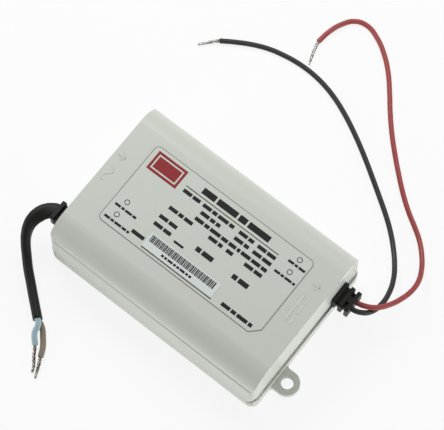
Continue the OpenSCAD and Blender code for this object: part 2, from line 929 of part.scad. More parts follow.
// Bent aluminium plate with its foot on the board
module heatsink() {
    color([0.75, 0.76, 0.78])
        translate([transistor_x, sink_face_y, board_top])
            difference() {
                union() {
                    translate([-sink_l / 2, -sink_t, 0])
                        cube([sink_l, sink_t, sink_h]);
                    translate([-sink_l / 2, -sink_foot, 0])
                        cube([sink_l, sink_foot, sink_t]);
                }
                translate([0, 1, transistor_hole_z - board_top])
                    rotate([90, 0, 0])
                        cylinder(h = sink_t + 2, d = screw_d + 2 * fit_gap);
            }
}

module switching_transistor() {
    head_gap = 0.25;
    body_h = transistor_hole_z - transistor_z - screw_head_d / 2 - head_gap;
    body_t = 4.4;
    legs = 3;
    leg_pitch = 2.54;
    color([0.14, 0.14, 0.15])
        translate([transistor_x, sink_face_y, transistor_z]) {
            translate([-transistor_w / 2, 0, 0])
                cube([transistor_w, body_t, body_h]);
            difference() {
                translate([-transistor_w / 2, 0, 0])
                    cube([transistor_w, transistor_tab_t, transistor_h]);
                translate([0, transistor_tab_t + 1, transistor_hole_z - transistor_z])
                    rotate([90, 0, 0])
                        cylinder(h = transistor_tab_t + 2, d = screw_d + 2 * fit_gap);
            }
            for (k = [0:legs - 1])
                translate([(k - (legs - 1) / 2) * leg_pitch - leg / 2, body_t / 2, board_top - transistor_z])
                    cube([leg, leg, transistor_z - board_top + 1]);
        }
}

module heatsink_screw() {
    head_h = 1.8;
    shank = sink_t + transistor_tab_t + 1;
    color([0.70, 0.70, 0.68])
        translate([transistor_x, sink_face_y + transistor_tab_t, transistor_hole_z])
            rotate([90, 0, 0]) {
                translate([0, 0, -head_h])
                    cylinder(h = head_h, d = screw_head_d);
                translate([0, 0, -e])
                    cylinder(h = shank, d = screw_d);
            }
}

module control_chip() {
    color([0.10, 0.10, 0.11])
        on_board(control_chip_x, control_chip_y)
            chip(l = 4.9, w = 3.9, h = 1.4, legs = 4);
}

module optocoupler() {
    color([0.92, 0.92, 0.88])
        on_board(out_x - outcap_in - optocoupler_from_outcap, optocoupler_y)
            chip(l = 4.6, w = 6.4, h = 3.4, legs = 2);
}

module y_capacitor() {
    color([0.20, 0.42, 0.68])
        on_board(out_x - outcap_in - optocoupler_from_outcap, y_capacitor_y)
            disc_on_legs(y_capacitor_d, disc_t);
}

module output_diode() {
    color([0.13, 0.13, 0.14])
        on_board(out_x - diode_in, diode_side - side_y)
            rotate([0, 0, 90])
                axial_part(diode_d, diode_l);
}

module output_capacitors() {
    first_y = diode_side - side_y + outcap_from_diode;
    color([0.14, 0.16, 0.28])
        for (k = [0, 1])
            on_board(out_x - outcap_in, first_y + k * (outcap_d + outcap_space))
                can(outcap_d, outcap_h);
}

module axial_resistors() {
    color([0.74, 0.66, 0.52])
        for (at = concat([[bleeder_in, bleeder_y]], [for (x = resistor_ins) [x, resistor_y]]))
            on_board(out_x - at.x, at.y)
                axial_part(resistor_d, resistor_l);
}

base_tray();
upper_shell();
rating_label();
serial_sticker();
ac_strain_relief();
dc_strain_relief();
ac_cable_jacket();
blue_core_tail();
brown_core_tail();
blue_core_strands();
brown_core_strands();
red_wire();
black_wire();
red_wire_strands();
black_wire_strands();
ac_cable_inner();
blue_lead_inner();
brown_lead_inner();
red_lead_inner();
black_lead_inner();
circuit_board();
fuse();
varistor();
x_capacitor();
line_filter_choke();
bridge_rectifier();
bulk_capacitor();
transformer_core();
transformer_bobbin();
transformer_winding();
switching_transistor();
heatsink();
heatsink_screw();
control_chip();
optocoupler();
y_capacitor();
output_diode();
output_capacitors();
axial_resistors();
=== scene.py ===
"""Looks of a small mains LED driver: two-part case, plain label, flat mains cord and two output wires."""

import math

import bmesh
import bpy
from mathutils import Matrix, Vector


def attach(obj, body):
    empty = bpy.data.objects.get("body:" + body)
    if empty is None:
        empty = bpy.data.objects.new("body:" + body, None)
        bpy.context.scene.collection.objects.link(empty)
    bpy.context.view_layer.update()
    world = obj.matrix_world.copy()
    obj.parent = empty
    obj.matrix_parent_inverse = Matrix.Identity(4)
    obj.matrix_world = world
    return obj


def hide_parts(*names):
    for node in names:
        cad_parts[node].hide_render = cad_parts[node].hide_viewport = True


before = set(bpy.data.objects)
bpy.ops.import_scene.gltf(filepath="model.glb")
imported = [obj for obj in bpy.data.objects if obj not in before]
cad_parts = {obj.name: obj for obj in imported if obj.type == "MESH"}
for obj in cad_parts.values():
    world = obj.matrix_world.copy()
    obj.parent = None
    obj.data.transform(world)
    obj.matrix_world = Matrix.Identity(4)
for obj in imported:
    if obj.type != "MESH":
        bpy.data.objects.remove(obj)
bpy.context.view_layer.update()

MM = 0.001
BODY = "root"

# Camera of the photograph
TARGET = Vector((-3.47, 13.56, 14.8)) * MM
AZIMUTH = math.radians(38.23)
ELEVATION = math.radians(72.98)
DISTANCE = 709 * MM
LENS_MM = 177.1
SENSOR_MM = 36.0

# Cords: sections and lengths in metres, and routes in millimetres, which are those of the CAD solids
WIRE_D = 1.8 * MM
CORE_D = 2.0 * MM
STRAND_BUNDLE_D = 1.3 * MM
CORD_THICK = 3.2 * MM
CORD_WIDE = 5.2 * MM
RED_ROUTE = [
    (48.3, 17.95, 12), (51.2, 18.6, 12), (54.5, 20.8, 11.3), (57, 24.5, 10), (58.5, 29, 8.5),
    (59.5, 33.5, 7), (59, 37.5, 5.5), (57.5, 42, 3.5), (54, 46.5, 2), (50.5, 50.5, 1.1), (46.5, 53, 0.9),
    (42.5, 55.5, 0.9), (37, 59.5, 0.9), (32, 64, 0.9), (26.5, 69, 0.9), (21, 74.5, 0.9), (16, 80, 0.9),
    (11.5, 86, 0.9), (7, 91, 0.9), (2.5, 95, 0.9), (-3.5, 99, 0.9), (-9.5, 100.5, 0.9), (-13, 99, 0.9),
    (-16, 95.5, 0.9), (-18, 90.5, 0.9), (-18.5, 85.5, 0.9)]
RED_BARE = [(-18.5, 85.5, 0.9), (-17.5, 81.5, 0.7), (-16, 77, 0.6)]
BLACK_ROUTE = [
    (48.3, 15.25, 12), (51.5, 16.2, 11.3), (53.7, 19, 9.8), (54.5, 23.5, 8), (54, 28.5, 6.5),
    (52, 33.5, 4.5), (49.5, 38, 2.5), (45, 43, 1.3), (41, 47, 0.9), (36.5, 50.5, 0.9), (30.5, 54.5, 0.9),
    (24.5, 58.5, 0.9), (18.5, 62.5, 0.9), (11.5, 66.5, 0.9), (4, 70.5, 0.9), (-1.5, 72.5, 0.9),
    (-6.5, 74, 0.9), (-11.5, 75, 0.9), (-16.5, 75, 0.9), (-21, 75, 0.9), (-25.5, 74, 0.9), (-30, 73, 0.9),
    (-34, 71.5, 0.9), (-40.5, 68, 0.9), (-45, 65, 0.9)]
BLACK_BARE = [(-45, 65, 0.9), (-47.5, 62.5, 0.7), (-50, 59.5, 0.6)]
CORD_ROUTE = [
    (-46.9, -18.1, 12), (-48.5, -18.9, 12), (-50, -20.4, 11.9), (-51, -22.2, 11.6), (-51.7, -24.9, 10.9),
    (-51.6, -27.3, 9.9), (-50.9, -29.4, 8.8), (-49.8, -31.3, 7.5), (-47, -34.5, 5), (-44, -37.5, 3.8),
    (-40.5, -40.5, 3), (-37, -43.5, 2.7), (-34, -46, 2.6), (-31, -48.5, 2.6)]
# Roll of the flat cord in degrees at its first points: it leaves lying flat and turns on edge
CORD_ROLL = [90, 90, 82, 60, 32, 15, 5]
BLUE_ROUTE = [(-31, -48.5, 3.8), (-29.5, -50, 3.5), (-29, -52.5, 2.4), (-26.5, -55.5, 1.1)]
BLUE_BARE = [(-26.5, -55.5, 1.1), (-24.5, -58.5, 0.8), (-22.5, -61, 0.7), (-21.5, -63, 0.6)]
BROWN_ROUTE = [
    (-31, -48.5, 1.4), (-28.5, -49.5, 1.3), (-26, -52, 1.1), (-24, -54.5, 1.1), (-22.5, -57.5, 1.1)]
BROWN_BARE = [(-22.5, -57.5, 1.1), (-21, -60.5, 0.8), (-19.5, -64, 0.6)]
# Directions in which the cords leave the case
OUTPUT_SIDE = Vector((1, 0, 0))
MAINS_SIDE = Vector((-1, 0, 0))


def millimetres(points):
    """Points given in millimetres, as vectors in metres."""
    return [Vector(point) * MM for point in points]


def evened(points):
    """Takes small wobbles out of a route and keeps its wide curves: evens it, then spreads it back."""
    passes = 2
    evening = 0.5
    spreading = -0.52
    for share in (evening, spreading) * passes:
        inner = [
            point + ((before + after) / 2 - point) * share
            for before, point, after in zip(points, points[1:], points[2:])]
        points = [points[0], *inner, points[-1]]
    return points


def link(obj):
    bpy.context.scene.collection.objects.link(obj)
    return obj


def from_bmesh(name, bm):
    """New object with the mesh of a finished bmesh."""
    mesh = bpy.data.meshes.new(name)
    bm.to_mesh(mesh)
    bm.free()
    return link(bpy.data.objects.new(name, mesh))


def make_camera():
    back = Vector((
        math.sin(AZIMUTH) * math.cos(ELEVATION),
        -math.cos(AZIMUTH) * math.cos(ELEVATION),
        math.sin(ELEVATION)))
    data = bpy.data.cameras.new("photo_camera")
    data.sensor_width = SENSOR_MM
    data.lens = LENS_MM
    camera = link(bpy.data.objects.new("photo_camera", data))
    camera.location = TARGET + back * DISTANCE
    camera.rotation_euler = back.to_track_quat("Z", "Y").to_euler()
    bpy.context.scene.camera = camera


def smooth_spline(curve, points, leaving=None):
    """Adds an open spline that passes smoothly through the points and may start in a given direction."""
    spline = curve.splines.new("BEZIER")
    spline.bezier_points.add(len(points) - 1)
    for knot, point in zip(spline.bezier_points, points):
        knot.co = point
        knot.handle_left_type = "AUTO"
        knot.handle_right_type = "AUTO"
    if leaving:
        first = spline.bezier_points[0]
        first.handle_left_type = "FREE"
        first.handle_right_type = "FREE"
        # The handles reach a third of the way to the next point
        reach = leaving * ((points[1] - points[0]).length / 3)
        first.handle_left = points[0] - reach
        first.handle_right = points[0] + reach
    return spline


def round_curve(name, diameter, facets):
    """Empty curve that gives its splines a round section."""
    curve = bpy.data.curves.new(name, "CURVE")
    curve.dimensions = "3D"
    curve.bevel_depth = diameter / 2
    curve.bevel_resolution = facets
    curve.resolution_u = 6
    curve.use_fill_caps = True
    return curve


def as_mesh(obj):
    """Turns a curve object into a mesh object of the same name, in the same place."""
    name = obj.name
    graph = bpy.context.evaluated_depsgraph_get()
    mesh = bpy.data.meshes.new_from_object(obj.evaluated_get(graph))
    bpy.data.objects.remove(obj)
    mesh.name = name
    return link(bpy.data.objects.new(name, mesh))


def piece(obj, finish, replaced=()):
    """Gives a finished object its material and body, and hides the CAD nodes it stands for."""
    obj.data.materials.clear()
    obj.data.materials.append(finish)
    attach(obj, BODY)
    if replaced:
        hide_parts(*replaced)
    return obj


def wire(name, points, diameter, leaving=None):
    curve = round_curve(name, diameter, facets=5)
    smooth_spline(curve, points, leaving)
    return link(bpy.data.objects.new(name, curve))


def flat_cord(name, route, roll, leaving):
    """Flat twin cord swept along its route with a roll, its cut end hollowed to a jacket wall."""
    jacket_wall = 0.55 * MM
    cut_depth = 0.5 * MM
    same_place = 0.001 * MM
    half_flat = (CORD_WIDE - CORD_THICK) / 2
    radius = CORD_THICK / 2
    steps = 12
    arc = [math.pi * k / steps for k in range(steps + 1)]
    upper = [(radius * math.cos(a), half_flat + radius * math.sin(a)) for a in arc]
    points = upper + [(-x, -y) for x, y in upper]
    outline = bpy.data.curves.new(name + "_outline", "CURVE")
    outline.dimensions = "2D"
    loop = outline.splines.new("POLY")
    loop.points.add(len(points) - 1)
    for knot, (x, y) in zip(loop.points, points):
        knot.co = (x, y, 0, 1)
    loop.use_cyclic_u = True
    outline_obj = link(bpy.data.objects.new(name + "_outline", outline))
    curve = bpy.data.curves.new(name, "CURVE")
    curve.dimensions = "3D"
    curve.twist_mode = "Z_UP"
    curve.bevel_mode = "OBJECT"
    curve.bevel_object = outline_obj
    curve.resolution_u = 8
    spline = smooth_spline(curve, millimetres(route), leaving)
    for knot, degrees in zip(spline.bezier_points, roll):
        knot.tilt = math.radians(degrees)
    obj = as_mesh(link(bpy.data.objects.new(name, curve)))
    bpy.data.objects.remove(outline_obj)
    bm = bmesh.new()
    bm.from_mesh(obj.data)
    bmesh.ops.remove_doubles(bm, verts=bm.verts, dist=same_place)
    open_edges = [edge for edge in bm.edges if edge.is_boundary]
    caps = bmesh.ops.holes_fill(bm, edges=open_edges)["faces"]
    bmesh.ops.recalc_face_normals(bm, faces=bm.faces)
    end = Vector(route[-1]) * MM
    cut = min(caps, key=lambda face: (face.calc_center_median() - end).length)
    bmesh.ops.inset_region(bm, faces=[cut], thickness=jacket_wall, use_even_offset=True)
    bmesh.ops.translate(bm, verts=cut.verts[:], vec=cut.normal * -cut_depth)
    bm.to_mesh(obj.data)
    bm.free()
    return obj


def along(points, share):
    """Point at a share of the way along a chain of points, which are taken as evenly spaced."""
    place = share * (len(points) - 1)
    first = min(int(place), len(points) - 2)
    return points[first].lerp(points[first + 1], place - first)


def bare_strands(name, route):
    """Bundle of fine strands, twisted about a middle one and drawn together at the cut end."""
    strand_d = 0.4 * MM
    count = 4
    turns = 2
    steps_per_turn = 7
    drawn_in = 0.45
    ring_r = STRAND_BUNDLE_D / 2 - strand_d / 2
    steps = steps_per_turn * turns
    points = millimetres(route)
    ahead = points[-1] - points[0]
    side = ahead.cross(Vector((0, 0, 1))).normalized()
    up = side.cross(ahead).normalized()
    curve = round_curve(name, strand_d, facets=2)
    smooth_spline(curve, points)
    for k in range(count):
        strand = []
        for i in range(steps + 1):
            share = i / steps
            angle = 2 * math.pi * (k / count + turns * share)
            spread = ring_r * (1 - drawn_in * share * share)
            strand.append(along(points, share) + (side * math.cos(angle) + up * math.sin(angle)) * spread)
        smooth_spline(curve, strand)
    return as_mesh(link(bpy.data.objects.new(name, curve)))


# Materials

def new_group(name, inputs, outputs):
    """Shader node group with named sockets, and its two end nodes."""
    tree = bpy.data.node_groups.new(name, "ShaderNodeTree")
    for label, kind, value in inputs:
        socket = tree.interface.new_socket(label, in_out="INPUT", socket_type="NodeSocket" + kind)
        socket.default_value = value
    for label, kind in outputs:
        tree.interface.new_socket(label, in_out="OUTPUT", socket_type="NodeSocket" + kind)
    return tree, tree.nodes.new("NodeGroupInput"), tree.nodes.new("NodeGroupOutput")


def feed(tree, socket, source):
    """Links a socket to another, or sets its value."""
    if isinstance(source, bpy.types.NodeSocket):
        tree.links.new(source, socket)
    else:
        socket.default_value = source


def maths(tree, operation, a, b):
    node = tree.nodes.new("ShaderNodeMath")
    node.operation = operation
    feed(tree, node.inputs[0], a)
    feed(tree, node.inputs[1], b)
    return node.outputs[0]


def scaled(tree, colour, factor):
    node = tree.nodes.new("ShaderNodeVectorMath")
    node.operation = "SCALE"
    feed(tree, node.inputs[0], colour)
    feed(tree, node.inputs["Scale"], factor)
    return node.outputs[0]


def noise(tree, vector, scale, detail):
    node = tree.nodes.new("ShaderNodeTexNoise")
    feed(tree, node.inputs["Vector"], vector)
    feed(tree, node.inputs["Scale"], scale)
    node.inputs["Detail"].default_value = detail
    return node.outputs[0]


def object_place(tree):
    return tree.nodes.new("ShaderNodeTexCoord").outputs["Object"]


def around_zero(tree, value, amount):
    """A 0 to 1 value as a swing about zero."""
    return maths(tree, "MULTIPLY", maths(tree, "SUBTRACT", value, 0.5), amount)


def make_skin_group():
    """Moulded or coated skin: soft patches of tone and gloss over a fine grain."""
    darkest = 0.08
    tree, start, end = new_group(
        "moulded_skin",
        [("Colour", "Color", (0.5, 0.5, 0.5, 1)), ("Mottle", "Float", 0.05), ("Patch Scale", "Float", 60.0),
         ("Grain Scale", "Float", 3000.0), ("Fleck", "Float", 0.02), ("Roughness", "Float", 0.5),
         ("Gloss Swing", "Float", 0.1)],
        [("Colour", "Color"), ("Roughness", "Float"), ("Height", "Float")])
    place = object_place(tree)
    patches = noise(tree, place, start.outputs["Patch Scale"], detail=3)
    grain = noise(tree, place, start.outputs["Grain Scale"], detail=2)
    tone = maths(
        tree, "ADD",
        around_zero(tree, patches, start.outputs["Mottle"]),
        around_zero(tree, grain, start.outputs["Fleck"]))
    brightness = maths(tree, "MAXIMUM", maths(tree, "ADD", tone, 1.0), darkest)
    feed(tree, end.inputs["Colour"], scaled(tree, start.outputs["Colour"], brightness))
    gloss = around_zero(tree, patches, start.outputs["Gloss Swing"])
    feed(tree, end.inputs["Roughness"], maths(tree, "ADD", start.outputs["Roughness"], gloss))
    feed(tree, end.inputs["Height"], grain)
    return tree


def make_streak_group():
    """Drawn or wound surface: streaks that run across the axis along which they are packed."""
    tree, start, end = new_group(
        "drawn_streaks",
        [("Colour", "Color", (0.5, 0.5, 0.5, 1)), ("Streaks", "Vector", (1.0, 1.0, 1.0)),
         ("Contrast", "Float", 0.2), ("Roughness", "Float", 0.4), ("Gloss Swing", "Float", 0.2)],
        [("Colour", "Color"), ("Roughness", "Float"), ("Height", "Float")])
    packed = tree.nodes.new("ShaderNodeVectorMath")
    packed.operation = "MULTIPLY"
    feed(tree, packed.inputs[0], object_place(tree))
    feed(tree, packed.inputs[1], start.outputs["Streaks"])
    streaks = noise(tree, packed.outputs[0], 1.0, detail=3)
    brightness = maths(tree, "ADD", around_zero(tree, streaks, start.outputs["Contrast"]), 1.0)
    feed(tree, end.inputs["Colour"], scaled(tree, start.outputs["Colour"], brightness))
    gloss = around_zero(tree, streaks, start.outputs["Gloss Swing"])
    feed(tree, end.inputs["Roughness"], maths(tree, "ADD", start.outputs["Roughness"], gloss))
    feed(tree, end.inputs["Height"], streaks)
    return tree


SKIN = make_skin_group()
STREAKS = make_streak_group()


def new_material(name):
    material = bpy.data.materials.new(name)
    material.use_nodes = True
    tree = material.node_tree
    return material, tree, tree.nodes["Principled BSDF"]


def dress(tree, shader, group, values, relief, depth):
    """Lets a shader take its colour, roughness and fine relief from a node group with the given values."""
    node = tree.nodes.new("ShaderNodeGroup")
    node.node_tree = group
    for label, value in values.items():
        node.inputs[label].default_value = value
    feed(tree, shader.inputs["Base Color"], node.outputs["Colour"])
    feed(tree, shader.inputs["Roughness"], node.outputs["Roughness"])
    bump = tree.nodes.new("ShaderNodeBump")
    bump.inputs["Strength"].default_value = relief
    bump.inputs["Distance"].default_value = depth
    feed(tree, bump.inputs["Height"], node.outputs["Height"])
    feed(tree, shader.inputs["Normal"], bump.outputs["Normal"])


def skin_material(name, colour, roughness, mottle=0.06, patch=60.0, grain=3000.0, swing=0.12, relief=0.2,
                  specular=0.5, metallic=0.0):
    """Material on the shared skin; colour is linear, grain and patch are features per metre."""
    fleck = 0.03
    grain_depth = 0.02 * MM
    material, tree, shader = new_material(name)
    values = {
        "Colour": (*colour, 1), "Mottle": mottle, "Patch Scale": patch, "Grain Scale": grain,
        "Fleck": fleck, "Roughness": roughness, "Gloss Swing": swing}
    dress(tree, shader, SKIN, values, relief, grain_depth)
    shader.inputs["Specular IOR Level"].default_value = specular
    shader.inputs["Metallic"].default_value = metallic
    return material


def streak_material(name, colour, streaks, roughness, contrast=0.25, relief=0.3, metallic=0.0):
    """Material on the shared streaks; streaks gives their number per metre along X, Y and Z."""
    streak_depth = 0.03 * MM
    material, tree, shader = new_material(name)
    values = {"Colour": (*colour, 1), "Streaks": streaks, "Contrast": contrast, "Roughness": roughness}
    dress(tree, shader, STREAKS, values, relief, streak_depth)
    shader.inputs["Metallic"].default_value = metallic
    return material


CASE_PLASTIC = skin_material(
    "satin_case_plastic", (0.56, 0.58, 0.525), 0.42, mottle=0.03, patch=35, grain=2600, swing=0.08)
LABEL_FILM = skin_material(
    "label_film", (0.56, 0.592, 0.54), 0.34, mottle=0.03, patch=80, grain=5000, relief=0.1)
STICKER_PAPER = skin_material("sticker_paper", (0.65, 0.695, 0.68), 0.6, mottle=0.03, patch=120, grain=6000)
# Dark ink of the print; the painted shadow line below the sticker is drawn in it too
PRINT_INK_AND_SHADOW = skin_material(
    "print_ink_and_shadow", (0.016, 0.0165, 0.017), 0.5, mottle=0.3, patch=300, grain=8000, specular=0.15)
OUTLINE_INK = skin_material("outline_ink", (0.12, 0.125, 0.12), 0.5, mottle=0.2, patch=300, grain=8000)
RED_INK = skin_material(
    "red_ink", (0.255, 0.014, 0.018), 0.45, mottle=0.12, patch=200, grain=8000, specular=0.25)
BLACK_PVC = skin_material(
    "black_pvc", (0.009, 0.0094, 0.0088), 0.5, mottle=0.4, patch=150, grain=2500, relief=0.35,
    specular=0.28)
BLACK_INSULATION = skin_material(
    "black_insulation", (0.03, 0.031, 0.03), 0.36, mottle=0.3, patch=150, specular=0.3)
RED_INSULATION = skin_material(
    "red_insulation", (0.325, 0.056, 0.054), 0.32, mottle=0.16, patch=120, specular=0.35)
BLUE_INSULATION = skin_material("blue_insulation", (0.33, 0.46, 0.51), 0.42, mottle=0.12, patch=150)
BROWN_INSULATION = skin_material("brown_insulation", (0.20, 0.167, 0.12), 0.45, mottle=0.15, patch=150)
BARE_COPPER = skin_material("bare_copper", (0.42, 0.40, 0.35), 0.3, mottle=5.0, patch=1400, metallic=1.0)
TINNED_COPPER = skin_material(
    "tinned_copper", (0.58, 0.57, 0.55), 0.3, mottle=3.0, patch=1400, metallic=1.0)
BOARD_LAMINATE = streak_material("board_laminate", (0.035, 0.13, 0.04), (1500, 1500, 300), 0.38)
DARK_EPOXY = skin_material(
    "dark_epoxy", (0.02, 0.019, 0.019), 0.55, mottle=0.2, patch=400, grain=9000, relief=0.4)
WHITE_EPOXY = skin_material("white_epoxy", (0.72, 0.71, 0.66), 0.5, mottle=0.08, patch=400, grain=9000)
BLUE_LACQUER = skin_material("blue_lacquer", (0.02, 0.07, 0.25), 0.28, mottle=0.2, patch=250, grain=1500)
YELLOW_FILM_CASE = skin_material(
    "yellow_film_case", (0.55, 0.38, 0.05), 0.42, mottle=0.1, patch=200, grain=5000)
CAPACITOR_SLEEVE = streak_material(
    "capacitor_sleeve", (0.018, 0.022, 0.06), (60, 60, 900), 0.3, relief=0.12)
RESISTOR_BODY = skin_material("resistor_body", (0.50, 0.38, 0.22), 0.4, mottle=0.2, patch=500, grain=5000)
FERRITE = skin_material(
    "ferrite", (0.045, 0.045, 0.05), 0.6, mottle=0.35, patch=700, grain=7000, relief=0.5)
BOBBIN_PLASTIC = skin_material("bobbin_plastic", (0.72, 0.66, 0.45), 0.5, mottle=0.06, patch=200)
WINDING_TAPE = streak_material("winding_tape", (0.55, 0.34, 0.02), (40, 40, 1400), 0.3, relief=0.4)
WOUND_COPPER = streak_material(
    "wound_copper", (0.50, 0.17, 0.06), (1800, 1800, 40), 0.34, contrast=0.6, relief=0.8)
HEATSINK_METAL = streak_material("heatsink_metal", (0.62, 0.63, 0.65), (60, 2500, 2500), 0.36, metallic=1.0)
SCREW_STEEL = streak_material("screw_steel", (0.48, 0.48, 0.46), (1500, 200, 1500), 0.3, metallic=1.0)


# Cords and bared ends

red_cord = piece(
    wire("red_output_wire", evened(millimetres(RED_ROUTE)), WIRE_D, OUTPUT_SIDE),
    RED_INSULATION, ["red_wire"])
red_tip = piece(
    bare_strands("red_wire_bare_end", RED_BARE), TINNED_COPPER, ["red_wire_strands"])

black_cord = piece(
    wire("black_output_wire", evened(millimetres(BLACK_ROUTE)), WIRE_D, OUTPUT_SIDE),
    BLACK_INSULATION, ["black_wire"])
black_tip = piece(
    bare_strands("black_wire_bare_end", BLACK_BARE), TINNED_COPPER, ["black_wire_strands"])

mains_cord = piece(
    flat_cord("mains_cord_jacket", CORD_ROUTE, CORD_ROLL, MAINS_SIDE),
    BLACK_PVC, ["ac_cable_jacket"])
blue_core = piece(
    as_mesh(wire("blue_core", millimetres(BLUE_ROUTE), CORE_D)),
    BLUE_INSULATION, ["blue_core_tail"])
brown_core = piece(
    as_mesh(wire("brown_core", millimetres(BROWN_ROUTE), CORE_D)),
    BROWN_INSULATION, ["brown_core_tail"])
blue_tip = piece(
    bare_strands("blue_core_bare_end", BLUE_BARE), BARE_COPPER, ["blue_core_strands"])
brown_tip = piece(
    bare_strands("brown_core_bare_end", BROWN_BARE), BARE_COPPER, ["brown_core_strands"])


# Case, with the levels and outlines of the CAD solids

SHELL_TOP = 27.0 * MM
SKIRT_Z = 17.0 * MM
SHELL_FOOT_Z = 9.3 * MM
RIM_Z = 8.5 * MM
TAB_TOP = 3.0 * MM
FLANK_HALF_W = 27.5 * MM
BASE_HALF_L = 42.5 * MM
BASE_HALF_W = 28.5 * MM
BASE_CORNER_R = 3.0 * MM
# How copies of the solids are welded, levelled and eased
BRIM_REACH = 0.95 * MM
BRIM_EASE = 0.25 * MM
RIB_EASE = 0.12 * MM
WELD = 0.002 * MM
LEVEL_WITHIN = 0.01 * MM
FLAT_WITHIN = math.radians(0.4)
SHARP_OVER = math.radians(35)
SQUARE_OVER = math.radians(60)


def eased_copy(node, name, shift=None, is_eased=None, width=0):
    """Welded, smooth shaded copy of a CAD node: shift moves its points, is_eased picks edges to round."""
    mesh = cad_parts[node].data.copy()
    mesh.name = name
    bm = bmesh.new()
    bm.from_mesh(mesh)
    bmesh.ops.remove_doubles(bm, verts=bm.verts, dist=WELD)
    bmesh.ops.dissolve_limit(bm, angle_limit=FLAT_WITHIN, verts=bm.verts, edges=bm.edges)
    if shift:
        for vert in bm.verts:
            vert.co += shift(vert.co)
    if is_eased:
        eased = [
            edge for edge in bm.edges
            if edge.is_manifold and edge.is_convex and edge.calc_face_angle() > SQUARE_OVER
            and all(is_eased(vert.co) for vert in edge.verts)]
        bmesh.ops.bevel(
            bm, geom=eased, offset=width, offset_type="OFFSET", segments=3, profile=0.5, affect="EDGES",
            material=-1)
    bm.to_mesh(mesh)
    bm.free()
    mesh.shade_smooth()
    mesh.set_sharp_from_angle(angle=SHARP_OVER)
    obj = link(bpy.data.objects.new(name, mesh))
    even = obj.modifiers.new("even_faces", "WEIGHTED_NORMAL")
    even.keep_sharp = True
    return obj


def level_with(value, level):
    return abs(value - level) < LEVEL_WITHIN


def sideways(point):
    """0 at the ends of the case, rising round its corners to 1 at the sides of the base."""
    return max((abs(point.y) - BASE_HALF_W + BASE_CORNER_R) / BASE_CORNER_R, 0)


def outside(point):
    """How far a point lies outside the outline of the base, less than zero where it lies inside."""
    past_x = abs(point.x) - BASE_HALF_L + BASE_CORNER_R
    past_y = abs(point.y) - BASE_HALF_W + BASE_CORNER_R
    if past_x > 0 and past_y > 0:
        return math.hypot(past_x, past_y) - BASE_CORNER_R
    return max(past_x, past_y) - BASE_CORNER_R


def shell_lines(point):
    """Makes the step above the skirt a slope, and brings the shell's foot to the base at the sides."""
    slope_h = 1.2 * MM
    outer_fall = 4.0 * MM
    outer_reach = 1.19 * MM
    outer_within = 1.0 * MM
    inner_fall = 2.6 * MM
    if level_with(point.z, SKIRT_Z) and level_with(abs(point.y), FLANK_HALF_W):
        return Vector((0, 0, slope_h))
    if level_with(point.z, SHELL_FOOT_Z):
        if outside(point) > -outer_within:
            return Vector((0, math.copysign(outer_reach, point.y), -outer_fall)) * sideways(point) ** 2
        return Vector((0, 0, -inner_fall)) * sideways(point) ** 2
    return Vector()


def rim_slope(point):
    """Lowers the outer line of the rim of the base, which makes the rim a slope."""
    fall = 1.6 * MM
    on_rim = level_with(point.z, RIM_Z) and abs(outside(point)) < LEVEL_WITHIN
    return Vector((0, 0, -fall if on_rim else 0))


def on_base_brim(point):
    """Whether a point lies on the outline of the base at its underside or at the top of its tab."""
    at_brim = level_with(point.z, 0) or level_with(point.z, TAB_TOP)
    return at_brim and outside(point) > -BRIM_REACH


def anywhere(point):
    return True


piece(
    eased_copy("upper_shell", "case_upper_shell", shell_lines),
    CASE_PLASTIC, ["upper_shell"])
piece(
    eased_copy("base_tray", "case_base_tray", rim_slope, on_base_brim, BRIM_EASE),
    CASE_PLASTIC, ["base_tray"])
for end in ("ac", "dc"):
    piece(
        eased_copy(end + "_strain_relief", end + "_ribbed_bushing", is_eased=anywhere, width=RIB_EASE),
        BLACK_PVC, [end + "_strain_relief"])


# Raised signs on the case in millimetres: an arrow with direct current bars, and an arrow with a wave

OUTPUT_SIGN = [
    [(35.1, 10.6), (38.2, 10.6)], [(36.9, 11.9), (38.2, 10.6), (36.9, 9.3)],
    [(35.7, -4.4), (35.7, 6.4)], [(37.6, -4.4), (37.6, -1.6)], [(37.6, -0.4), (37.6, 2.4)],
    [(37.6, 3.6), (37.6, 6.4)]]
WAVE_STEPS = 16
WAVE_X = -38.7
WAVE_SWING = 1.1
WAVE_START_Y = 1.8
WAVE_LENGTH = 5.6
MAINS_WAVE = [
    (WAVE_X + WAVE_SWING * math.sin(2 * math.pi * k / WAVE_STEPS),
     WAVE_START_Y - WAVE_LENGTH * k / WAVE_STEPS)
    for k in range(WAVE_STEPS + 1)]
MAINS_SIGN = [[(-40.2, 6.2), (-37.2, 6.2)], [(-38.5, 7.4), (-37.2, 6.2), (-38.5, 5.0)], MAINS_WAVE]


def raised_strokes(name, strokes):
    """Round ridges moulded on the top of the case along the given lines."""
    ridge_d = 1.1 * MM
    proud = 0.2 * MM
    curve = round_curve(name, ridge_d, facets=3)
    height = SHELL_TOP + proud - ridge_d / 2
    for stroke in strokes:
        line = curve.splines.new("POLY")
        line.points.add(len(stroke) - 1)
        for knot, (x, y) in zip(line.points, stroke):
            knot.co = (x * MM, y * MM, height, 1)
    return as_mesh(link(bpy.data.objects.new(name, curve)))


piece(raised_strokes("raised_output_sign", OUTPUT_SIGN), CASE_PLASTIC)
piece(raised_strokes("raised_mains_sign", MAINS_SIGN), CASE_PLASTIC)
